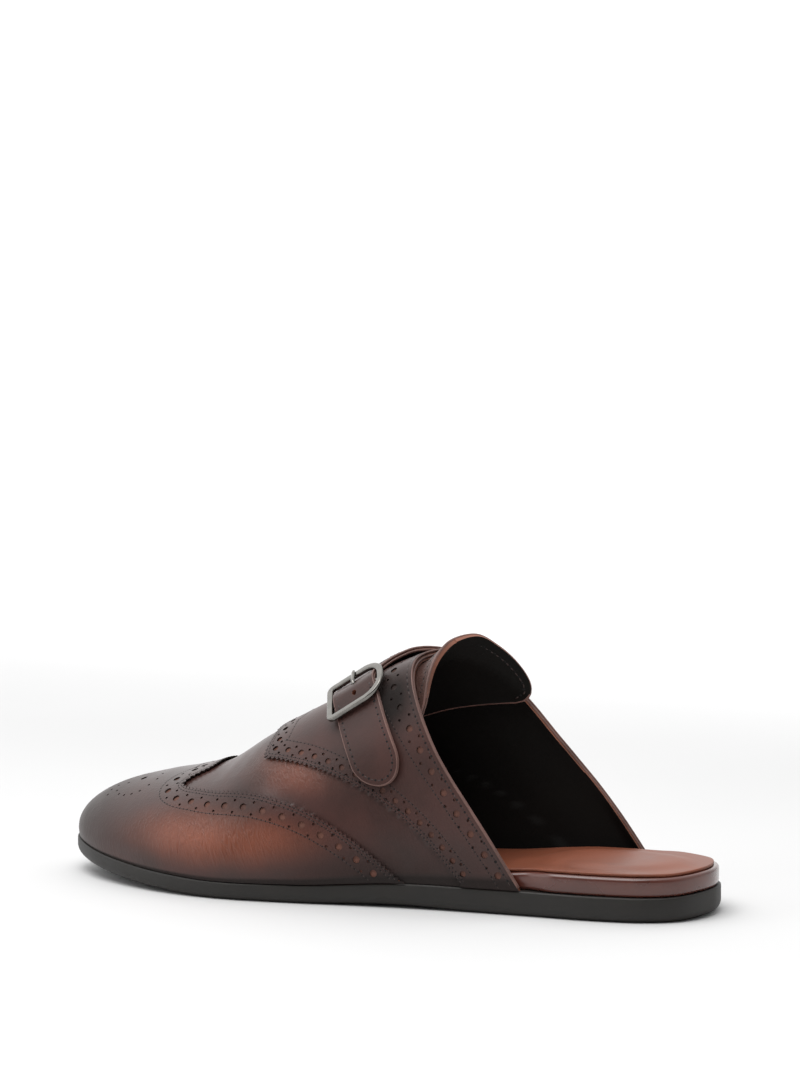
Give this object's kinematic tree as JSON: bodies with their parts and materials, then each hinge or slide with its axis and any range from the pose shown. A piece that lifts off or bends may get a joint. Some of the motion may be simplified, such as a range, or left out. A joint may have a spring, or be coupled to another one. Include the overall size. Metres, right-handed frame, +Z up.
{
  "type": "backless brogue slipper",
  "caption": "Left backless leather slipper with a wing-tip brogue upper, a tongue, a buckled strap over the instep, a wrapped footbed and a thin rubber sole.",
  "frame": {"origin": "on the floor under the shoe, at the middle of its length and width", "axes": "+X towards the toe, +Y towards the outer side of the foot, +Z up"},
  "size_m": [0.3, 0.0994, 0.1127],
  "materials": {
    "sole_rubber": "matte dark grey-brown rubber",
    "footbed_leather": "glossy burgundy-brown wrapping leather",
    "insole_leather": "smooth red-brown lining leather",
    "vamp_leather": "burnished dark burgundy-brown calf, semi-gloss",
    "cap_leather": "burnished dark burgundy-brown calf, semi-gloss, lighter patch on the side",
    "quarter_leather": "burnished dark burgundy-brown calf, semi-gloss",
    "tongue_leather": "soft dark brown leather with a lighter edge",
    "strap_leather": "burnished dark burgundy-brown calf with a lighter edge",
    "buckle_metal": "polished gunmetal"
  },
  "bodies": {
    "root": {"outsole": "sole_rubber", "footbed": "footbed_leather", "insole": "insole_leather", "upper": "vamp_leather", "wing_cap": "cap_leather", "quarter_outer": "quarter_leather", "quarter_inner": "quarter_leather", "tongue": "tongue_leather", "strap": "strap_leather", "buckle_frame": "buckle_metal", "buckle_prong": "buckle_metal"}
  },
  "joints": []
}
